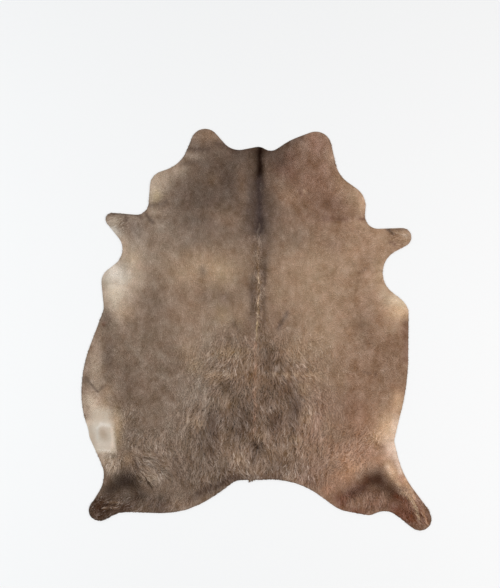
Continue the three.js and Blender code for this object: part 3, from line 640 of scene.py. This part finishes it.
def coat_tones(points):
    warp = np.stack([uneven(points, TONE_WARP_SCALE, seed) for seed in TONE_WARP_SEEDS], axis=1)
    across, along = (points + TONE_WARP * warp).T
    tones = np.tile(daylight(TONES["taupe"]), (len(points), 1))
    for _, tone, middle_x, middle_y, reach_x, reach_y, share, *shape in COAT_PATCHES:
        turn, hardness = shape or (0, 1)
        cosine = math.cos(math.radians(turn))
        sine = math.sin(math.radians(turn))
        x = ((across - middle_x) * cosine + (along - middle_y) * sine) / reach_x
        y = ((along - middle_y) * cosine - (across - middle_x) * sine) / reach_y
        weight = share * fading(x, y, hardness)
        tones += weight[:, None] * (daylight(TONES[tone]) - tones)
    wander = np.stack([uneven(points, LINE_WANDER_SCALE, seed) for seed in LINE_WANDER_SEEDS], axis=1)
    breaks = uneven(points, LINE_BREAK_SCALE, LINE_BREAK_SEED)
    for _, tone, start, end, reach, share, *course in COAT_LINES:
        stray, broken = course or (0, 0)
        distance = distance_to_edges(points + 2 * stray * wander, np.array([start]), np.array([end]))
        whole = np.clip(1 - broken * (0.5 - LINE_BREAK_DEPTH * breaks), 0, 1)
        weight = share * whole * np.exp(-((distance / reach) ** 2))
        tones += weight[:, None] * (daylight(TONES[tone]) - tones)
    hairy = calm_where_pale(tones * COAT_GAIN) * (1 - spread_over(BARE_SKIN, points))
    for mottle in MOTTLE:
        cloud = uneven(points, mottle["scale"], mottle["seed"])
        tones = shaded(tones, 1 + 2 * mottle["depth"] * hairy * cloud)
    warmth = 2 * HUE_DEPTH * uneven(points, HUE_SCALE, HUE_SEED)
    tones *= 1 + np.outer(warmth, HUE_TURN)
    # Painted shade along the cut edge, less on pale tones.
    from_edge = np.clip(on_chart(edge_distance, points), 0, None)
    dark = np.clip(1 - tones.mean(axis=1) / EDGE_PALE, 0, 1)
    tones *= 1 - (EDGE_SHADE * dark * np.exp(-((from_edge / EDGE_REACH) ** 2)))[:, None]
    return tones * COAT_GAIN


def paint(mesh, tones):
    colours = np.column_stack([tones, np.ones(len(tones))]).astype(np.float32)
    layer = mesh.color_attributes.new("coat_tone", "FLOAT_COLOR", "POINT")
    layer.data.foreach_set("color", colours.ravel())


def add_relief(material, pattern, depth):
    relief = material.node_tree.nodes.new("ShaderNodeBump")
    set_inputs(relief, depth)
    shader = material.node_tree.nodes["Principled BSDF"]
    material.node_tree.links.new(pattern.outputs["Fac"], relief.inputs["Height"])
    material.node_tree.links.new(relief.outputs["Normal"], shader.inputs["Normal"])


def hair_material(name, roughness, streak_depth, streak_scale, comb, strand_map=None):
    material, shader = plain_finish(name, roughness, HAIR_GLOSS)
    set_inputs(shader, HAIR_SHEEN)
    nodes = material.node_tree.nodes
    links = material.node_tree.links
    place = nodes.new("ShaderNodeUVMap" if strand_map else "ShaderNodeTexCoord")
    if strand_map:
        place.uv_map = strand_map
    combed = nodes.new("ShaderNodeMapping")
    set_inputs(combed, {"Scale": comb})
    streaks = nodes.new("ShaderNodeTexNoise")
    set_inputs(streaks, {"Scale": streak_scale, "Detail": HAIR_STREAK_DETAIL})
    shade = nodes.new("ShaderNodeMapRange")
    set_inputs(shade, {"To Min": 1 - streak_depth, "To Max": 1 + streak_depth})
    tone = nodes.new("ShaderNodeAttribute")
    tone.attribute_name = "coat_tone"
    streaked = nodes.new("ShaderNodeMix")
    streaked.data_type = "RGBA"
    streaked.blend_type = "MULTIPLY"
    set_inputs(streaked, {"Factor": 1.0})
    links.new(place.outputs["UV" if strand_map else "Object"], combed.inputs["Vector"])
    links.new(combed.outputs["Vector"], streaks.inputs["Vector"])
    links.new(streaks.outputs["Fac"], shade.inputs["Value"])
    links.new(tone.outputs["Color"], streaked.inputs["A"])
    links.new(shade.outputs["Result"], streaked.inputs["B"])
    links.new(streaked.outputs["Result"], shader.inputs["Base Color"])
    add_relief(material, streaks, HAIR_RELIEF)
    return material


def flesh_material():
    material, shader = plain_finish("flesh_side", SUEDE_ROUGHNESS, SUEDE_GLOSS)
    nodes = material.node_tree.nodes
    links = material.node_tree.links
    place = nodes.new("ShaderNodeTexCoord")
    nap = nodes.new("ShaderNodeTexNoise")
    set_inputs(nap, SUEDE_NAP)
    suede = nodes.new("ShaderNodeValToRGB")
    for element, (position, colour) in zip(suede.color_ramp.elements, SUEDE_TONES):
        element.position = position
        element.color = colour
    links.new(place.outputs["Object"], nap.inputs["Vector"])
    links.new(nap.outputs["Fac"], suede.inputs["Fac"])
    links.new(suede.outputs["Color"], shader.inputs["Base Color"])
    add_relief(material, nap, SUEDE_RELIEF)
    return material


def is_bare(edge):
    return spread_over(BARE_SKIN, np.array([vert.co.xy for vert in edge.verts])).max() > BARE_LEAST


def divide(edges):
    bmesh.ops.subdivide_edges(solid, edges=edges, cuts=UNDERFUR_CUTS, use_grid_fill=True)
    bmesh.ops.triangulate(solid, faces=solid.faces)


underfur = [vert for vert in solid.verts if vert.co.z > SKIN_THICKNESS + MERGE_DISTANCE]
for vert in underfur:
    vert.co.z = underfur_under(vert.co.z)
solid.normal_update()
divide([edge for edge in solid.edges if all(face.normal.z > FACES_UP for face in edge.link_faces)])
divide([edge for edge in solid.edges if is_bare(edge) and edge.link_faces[0].normal.z > FACES_UP])
for face in solid.faces:
    face.material_index = 0 if face.normal.z > FACES_UP else 1
    face.smooth = face.normal.z > FACES_UP
skin_mesh = bpy.data.meshes.new("skin")
solid.to_mesh(skin_mesh)
solid.free()
skin_mesh.materials.append(hair_material("underfur", **UNDERFUR_HAIR))
skin_mesh.materials.append(flesh_material())
skin_points = np.array([vert.co.xy for vert in skin_mesh.vertices])
skin_shade = UNDERFUR_SHADE + (BARE_SHADE - UNDERFUR_SHADE) * spread_over(BARE_SKIN, skin_points)
paint(skin_mesh, skin_shade[:, None] * coat_tones(skin_points))
skin = placed("skin", skin_mesh)
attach(skin, "root")
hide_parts("hide")

# Coat
# The hair that grows out of the skin, combed flat: short on the neck and shoulders and long and wavy from
# the loin to the tail. Each lock is a bundle of hairs, rooted in the underfur and lying over the roots
# behind it.

# How the hair lies. Columns: part of the hide, its place across and along, how far it reaches, and the way
# that the hair points there, in degrees clockwise from the neck.
COAT_LIE = [
    ("poll", 0.0, 0.86, 0.15, 180),
    ("left cheek", -0.26, 0.93, 0.15, 205),
    ("right cheek", 0.3, 0.91, 0.15, 155),
    ("withers", 0.0, 0.5, 0.25, 180),
    ("left throat", -0.45, 0.7, 0.18, 225),
    ("right throat", 0.5, 0.62, 0.18, 135),
    ("left fore shank", -0.7, 0.52, 0.15, 262),
    ("right fore shank", 0.72, 0.46, 0.15, 98),
    ("left ribs", -0.45, 0.2, 0.3, 205),
    ("right ribs", 0.45, 0.2, 0.3, 155),
    ("left chest", -0.7, 0.22, 0.12, 240),
    ("right chest", 0.68, 0.08, 0.12, 120),
    ("back", 0.0, 0.1, 0.25, 180),
    ("loin", 0.0, -0.3, 0.14, 180),
    ("croup", 0.0, -0.48, 0.22, 180),
    ("left flank", -0.5, -0.3, 0.3, 195),
    ("right flank", 0.5, -0.3, 0.3, 165),
    ("left belly", -0.8, -0.3, 0.15, 215),
    ("right belly", 0.72, -0.3, 0.15, 145),
    ("left rump", -0.2, -0.65, 0.18, 170),
    ("right rump", 0.2, -0.65, 0.18, 190),
    ("tail root", 0.0, -0.72, 0.08, 180),
    ("left loin", -0.24, -0.19, 0.16, 224),
    ("right loin", 0.26, -0.22, 0.16, 132),
    ("left hip", -0.54, -0.67, 0.11, 106),
    ("left hip inside", -0.41, -0.63, 0.07, 150),
    ("left hip foot", -0.45, -0.76, 0.07, 175),
    ("left stifle", -0.7, -0.67, 0.08, 200),
    ("left thigh", -0.45, -0.85, 0.15, 200),
    ("left hock", -0.65, -0.87, 0.07, 258),
    ("left hind shank", -0.79, -0.89, 0.09, 225),
    ("right hip", 0.49, -0.63, 0.15, 234),
    ("right thigh top", 0.5, -0.48, 0.12, 232),
    ("right stifle", 0.68, -0.7, 0.1, 160),
    ("right thigh", 0.45, -0.85, 0.12, 170),
    ("right hind shank", 0.8, -0.9, 0.12, 148),
]

# Where the hair curls, and by how many degrees. The other columns are those of the bare skin.
CURLED_HAIR = [
    ("left hip", -0.56, -0.66, 0.13, 0.06, 2, 22),
    ("left hind shank", -0.72, -0.87, 0.14, 0.07, 2, 40),
    ("right hip", 0.48, -0.62, 0.13, 0.09, 2, 34),
    ("right hind shank", 0.74, -0.87, 0.12, 0.1, 2, 26),
]
CURL_SCALE = 34.0
CURL_SEED = 4.6
LIE_SWIRL_SCALE = 17.0
LIE_SWIRL_SEED = 11.3
LIE_CORE = 0.15
LOCK_STRAY = 9.0

# Where the hair is long and wavy. The columns are those of the bare skin.
LONG_HAIR = [
    ("left fore shank", -0.69, 0.55, 0.05, 0.05, 2, 0.5),
    ("right fore shank", 0.71, 0.46, 0.05, 0.05, 2, 0.5),
    ("spine", 0.01, 0.22, 0.022, 0.3, 2, 0.6),
    ("loin", 0.0, -0.18, 0.31, 0.15, 1, 0.9),
    ("rump", 0.0, -0.54, 0.38, 0.28, 2, 1.0),
    ("left belly side", -0.63, -0.41, 0.06, 0.06, 2, 0.4),
    ("left thigh", -0.54, -0.55, 0.13, 0.07, 2, 0.6),
    ("left hip", -0.5, -0.66, 0.13, 0.1, 2, 0.9),
    ("left stifle", -0.71, -0.655, 0.05, 0.05, 2, 0.8),
    ("left hock", -0.5, -0.87, 0.2, 0.05, 2, 0.7),
    ("left hind shank", -0.78, -0.89, 0.08, 0.07, 2, 0.9),
    ("right thigh", 0.53, -0.54, 0.1, 0.07, 2, 0.5),
    ("right hip", 0.43, -0.62, 0.12, 0.08, 2, 0.7),
    ("right hock", 0.54, -0.86, 0.13, 0.06, 2, 0.7),
    ("right hind shank", 0.79, -0.9, 0.08, 0.12, 2, 0.8),
]

# Where the locks differ most in tone and look streaked. The columns are those of the bare skin.
STREAKED_HAIR = [
    ("mane", 0.016, 0.85, 0.03, 0.09, 2, 1.0),
    ("left neck", -0.3, 0.75, 0.14, 0.12, 2, 0.25),
    ("left fore shank", -0.66, 0.54, 0.1, 0.06, 1, 0.9),
    ("right fore shank", 0.69, 0.46, 0.07, 0.05, 1, 1.0),
    ("left armpit", -0.48, 0.5, 0.08, 0.06, 2, 0.5),
    ("right armpit", 0.49, 0.5, 0.06, 0.06, 2, 0.6),
    ("spine", 0.01, 0.2, 0.03, 0.28, 2, 0.7),
    ("left back", -0.2, 0.02, 0.08, 0.06, 2, 0.5),
    ("left loin", -0.15, -0.18, 0.13, 0.11, 1, 0.4),
    ("left flank", -0.67, -0.26, 0.15, 0.28, 1, 0.65),
    ("right flank", 0.38, -0.11, 0.21, 0.17, 2, 0.8),
    ("right flank foot", 0.57, -0.2, 0.08, 0.08, 1, 0.9),
    ("right flank rim", 0.68, -0.25, 0.1, 0.2, 2, 0.6),
    ("rump ridge", -0.03, -0.5, 0.05, 0.06, 1, 0.4),
    ("left hip", -0.57, -0.68, 0.13, 0.09, 2, 0.45),
    ("left stifle", -0.71, -0.66, 0.05, 0.05, 2, 0.6),
    ("left hind shank", -0.73, -0.875, 0.14, 0.07, 2, 1.9),
    ("right thigh", 0.58, -0.55, 0.07, 0.09, 2, 0.8),
    ("right hip", 0.48, -0.62, 0.16, 0.12, 2, 0.2),
    ("right stifle", 0.69, -0.74, 0.05, 0.1, 1, 0.8),
    ("right hind shank", 0.78, -0.9, 0.09, 0.1, 2, 0.5),
    ("tail fringe", 0.0, -0.74, 0.28, 0.05, 1, 0.7),
]

# Where locks hang over the cut edge, and how far. The other columns are those of the bare skin.
FRINGE = [
    ("left rump", -0.2, -0.77, 0.1, 0.05, 1, 0.0015),
    ("left hind shank", -0.748, -0.93, 0.03, 0.03, 2, 0.0035),
    ("tail root", -0.028, -0.745, 0.013, 0.03, 2, 0.014),
    ("tail", 0.05, -0.74, 0.14, 0.05, 1, 0.0015),
]

# The coat is made in bands from neck to tail. Columns: piece, where the band begins and ends along the
# hide, the distance between locks, and the rings of each lock: one on a short straight lock, three on a
# long wavy one.
COAT_BANDS = [
    ("coat_neck", 1.1, 0.62, 0.0047, 1),
    ("coat_shoulders", 0.62, 0.28, 0.0047, 1),
    ("coat_ribs", 0.28, -0.06, 0.005, 1),
    ("coat_loin", -0.06, -0.42, 0.0052, 1),
    ("coat_rump", -0.42, -1.1, 0.0054, 1),
    ("locks_loin", 0.66, -0.4, 0.0095, 3),
    ("locks_rump", -0.4, -1.1, 0.0095, 3),
]
BAND_RAGGED = 0.05
BAND_RAGGED_SCALE = 12.0
BAND_RAGGED_SEED = 5.9
SEED = 20

# In each pair, the first value holds where the hair is short and the second where it is long.
SHORT_LENGTH = (0.01, 0.019)
LONG_LENGTH = (0.028, 0.055)
SHORT_WIDTH = (0.0036, 0.0046)
LONG_WIDTH = (0.003, 0.0039)
LIE_SWIRL = (12.0, 26.0)
BASE_SHADE = (1.0, 0.7)
ROOT_SHADE = (0.82, 0.68)
TIP_SHADE = (1.08, 1.14)
TONE_SPREAD = (0.065, 0.235)
CLUMP_DEPTH = (0.04, 0.2)

# The shape of a lock. Its breadth follows half a wave, between the two shares that its taper names.
LENGTH_SPREAD = 0.2
LEAST_LENGTH_SHARE = 0.25
WIDTH_SPREAD = 0.3
LOCK_THICKNESS = 0.3
LOCK_TAPER = (0.25, 0.85)
LOCK_RISE = 0.55
LOCK_WAVE = 0.07
LOCK_TURNS = 1.2
PHASE_SPREAD = 0.5
LOCK_LAYERS = 0.0011
ROOT_SINK = 0.0004
OVERHANG = 0.0005

# Long locks grow in clumps, and the tone changes from clump to clump and from strand to strand.
CLUMP_STRANDS = 2
CLUMP_WIDTH = 0.0045
CLUMP_STAGGER = 0.012
CLUMP_CLOSING = 0.7
CLUMP_SCALE = (100.0, 30.0)
CLUMP_SEED = 2.2
LONG_SHADE = 0.82
STREAK_SPREAD = 0.9
STRAND_SPREAD = 0.09
STRAND_RUN = 0.012
STRAND_SHIFT = 100
BAKE_MARGIN = 0.1
COAT_HAIR = {
    "roughness": 0.6,
    "streak_depth": 0.22,
    "streak_scale": 1.0,
    "comb": (9.0, 0.7, 1.0),
    "strand_map": "strands",
}

coat_hair = hair_material("coat_hair", **COAT_HAIR)


def between(pair, share):
    return pair[0] + (pair[1] - pair[0]) * share


def hair_heading(points, chance):
    ways = np.zeros((len(points), 2))
    for _, across, along, reach, heading in COAT_LIE:
        distance = np.hypot(points[:, 0] - across, points[:, 1] - along) / reach
        weight = np.exp(-distance) / (LIE_CORE + distance ** 2)
        way = np.array([math.sin(math.radians(heading)), math.cos(math.radians(heading))])
        ways += weight[:, None] * way
    swirl = between(LIE_SWIRL, spread_over(LONG_HAIR, points))
    swirl = swirl * 2 * uneven(points, LIE_SWIRL_SCALE, LIE_SWIRL_SEED)
    curl = spread_over(CURLED_HAIR, points) * 2 * uneven(points, CURL_SCALE, CURL_SEED)
    stray = LOCK_STRAY * chance.standard_normal(len(points))
    turn = np.radians(swirl + curl + stray)
    heading = np.arctan2(ways[:, 0], ways[:, 1]) + turn
    return np.stack([np.sin(heading), np.cos(heading)], axis=1)


def scatter(start, end, spacing, chance):
    columns = np.arange(cad_low.x, cad_high.x, spacing)
    rows = np.arange(max(cad_low.y, end - BAND_RAGGED), min(cad_high.y, start + BAND_RAGGED), spacing)
    points = np.stack(np.meshgrid(columns, rows), axis=-1).reshape(-1, 2)
    points = points + spacing * chance.uniform(-0.5, 0.5, points.shape)
    points = points[on_chart(edge_distance, points) > 0]
    ragged = points[:, 1] + BAND_RAGGED * 2 * uneven(points, BAND_RAGGED_SCALE, BAND_RAGGED_SEED)
    points = points[(ragged <= start) & (ragged > end)]
    return points[chance.random(len(points)) >= spread_over(BARE_SKIN, points)]


def lock_pattern(rings):
    tip = rings + 1
    triangles = []
    for side in range(3):
        after = side + 1
        triangles.append([(side + 0.5, 0), (after, 1), (side, 1)])
        for ring in range(1, rings):
            triangles.append([(side, ring), (after, ring), (after, ring + 1)])
            triangles.append([(side, ring), (after, ring + 1), (side, ring + 1)])
        triangles.append([(side, rings), (after, rings), (side + 0.5, tip)])
    around, along = np.moveaxis(np.array(triangles), -1, 0)
    faces = 3 * along - 2 + around % 3
    faces[along == 0] = 0
    faces[along == tip] = 3 * tip - 2
    corners = np.stack([around / 3, along / tip], axis=-1).reshape(-1, 2)
    return faces.astype(int), corners


def map_locks(mesh, rings, lengths, chance):
    corners = lock_pattern(rings)[1]
    count = len(lengths)
    strands = np.tile(corners, (count, 1, 1))
    strands[:, :, 0] += chance.uniform(0, STRAND_SHIFT, count)[:, None]
    strands[:, :, 1] *= (lengths / STRAND_RUN)[:, None]
    across = math.ceil(math.sqrt(count))
    cell = np.stack([np.arange(count) % across, np.arange(count) // across], axis=1)
    baked = (cell[:, None, :] + BAKE_MARGIN + (1 - 2 * BAKE_MARGIN) * corners[None]) / across
    for name, layout in (("OFBake", baked), ("strands", strands)):
        layer = mesh.uv_layers.new(name=name)
        layer.data.foreach_set("uv", layout.astype(np.float32).ravel())


def lock_mesh(name, rings, lines, left, widths, tones, long_share):
    count = len(lines)
    left = np.column_stack([left, np.zeros(count)])
    up = np.array([0.0, 0.0, 1.0])
    corners = [lines[:, 0]]
    for ring in range(1, rings + 1):
        taper = math.sin(math.pi * between(LOCK_TAPER, ring / (rings + 1)))
        half = 0.5 * taper * widths[:, None] * left
        thick = LOCK_THICKNESS * taper * widths[:, None] * up
        corners += [lines[:, ring] + half, lines[:, ring] + thick, lines[:, ring] - half]
    corners.append(lines[:, -1])
    corners = np.stack(corners, axis=1)
    root = between(ROOT_SHADE, long_share)
    tip = between(TIP_SHADE, long_share)
    shades = [root]
    for ring in range(1, rings + 1):
        shades += [between((root, tip), ring / (rings + 1))] * 3
    shades.append(tip)
    colours = tones[:, None, :] * np.stack(shades, axis=1)[:, :, None]

    size = corners.shape[1]
    pattern = lock_pattern(rings)[0]
    faces = (np.arange(count)[:, None, None] * size + pattern[None]).reshape(-1, 3)
    mesh = bpy.data.meshes.new(name)
    mesh.vertices.add(count * size)
    mesh.vertices.foreach_set("co", corners.astype(np.float32).ravel())
    mesh.loops.add(faces.size)
    mesh.loops.foreach_set("vertex_index", faces.astype(np.int32).ravel())
    mesh.polygons.add(len(faces))
    mesh.polygons.foreach_set("loop_start", np.arange(0, faces.size, 3, dtype=np.int32))
    mesh.update(calc_edges=True)
    mesh.polygons.foreach_set("use_smooth", np.ones(len(faces), dtype=bool))
    paint(mesh, colours.reshape(-1, 3))
    mesh.materials.append(coat_hair)
    return mesh


for number, (name, start, end, spacing, rings) in enumerate(COAT_BANDS):
    chance = np.random.default_rng(SEED + number)
    centres = scatter(start, end, spacing, chance)
    is_long = rings > 1
    strands = CLUMP_STRANDS if is_long else 1
    if is_long:
        centres = centres[chance.random(len(centres)) < spread_over(LONG_HAIR, centres)]
    owner = np.repeat(np.arange(len(centres)), strands)
    ways = hair_heading(centres, chance)[owner]
    left = np.stack([-ways[:, 1], ways[:, 0]], axis=1)
    aside = np.tile(CLUMP_WIDTH * (np.arange(strands) - 0.5 * (strands - 1)) / strands, len(centres))
    stagger = CLUMP_STAGGER * (strands > 1) * chance.uniform(-0.5, 0.5, len(owner))
    roots = centres[owner] + left * aside[:, None] + ways * stagger[:, None]
    inside = on_chart(edge_distance, roots) > 0
    owner, ways, left, aside, roots = (values[inside] for values in (owner, ways, left, aside, roots))
    count = len(roots)
    long_share = spread_over(LONG_HAIR, roots)

    length = between(LONG_LENGTH if is_long else SHORT_LENGTH, long_share)
    length = length * np.exp(LENGTH_SPREAD * chance.standard_normal(count))
    overhang = OVERHANG + spread_over(FRINGE, roots)
    past_edge = np.minimum(on_chart(edge_distance, roots + ways * length[:, None]) + overhang, 0)
    length = length * np.clip(1 + past_edge / length, LEAST_LENGTH_SHARE, 1.0)
    width = between(LONG_WIDTH if is_long else SHORT_WIDTH, long_share)
    width = width * chance.uniform(1 - WIDTH_SPREAD, 1 + WIDTH_SPREAD, count)

    phase = chance.uniform(0, 2 * math.pi, len(centres))[owner]
    phase = phase + chance.uniform(-PHASE_SPREAD, PHASE_SPREAD, count)
    wave = LOCK_WAVE if is_long else 0.0
    layer = LOCK_LAYERS * chance.random(len(centres))[owner]
    low = underfur_under(on_chart(coat_top, roots)) - ROOT_SINK
    line = []
    for share in np.linspace(0, 1, rings + 2):
        sway = wave * length * (np.sin(phase + 2 * math.pi * LOCK_TURNS * share) - np.sin(phase))
        sway = sway - CLUMP_CLOSING * share * aside
        reach = ways * (share * length)[:, None] + left * sway[:, None]
        place = kept_inside(roots + reach, overhang)
        rise = math.sin(0.5 * math.pi * min(1.0, share / LOCK_RISE))
        high = on_chart(coat_top, place) - layer
        line.append(np.column_stack([place, low + rise * (high - low)]))
    lines = np.stack(line, axis=1)

    middles = roots + 0.5 * ways * length[:, None]
    clump = 1 + 2 * between(CLUMP_DEPTH, long_share) * uneven(middles, CLUMP_SCALE, CLUMP_SEED)
    tones = coat_tones(middles)
    contrast = calm_where_pale(tones) * (1 + STREAK_SPREAD * spread_over(STREAKED_HAIR, middles))
    own = between(TONE_SPREAD, long_share) * chance.standard_normal(len(centres))[owner]
    own = contrast * (own + STRAND_SPREAD * (strands > 1) * chance.standard_normal(count))
    base = LONG_SHADE * np.ones(count) if is_long else between(BASE_SHADE, long_share)
    tones = shaded(base[:, None] * tones, clump * np.exp(own))
    mesh = lock_mesh(name, rings, lines, left, width, tones, long_share)
    map_locks(mesh, rings, length, chance)
    piece = placed(name, mesh)
    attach(piece, "root")
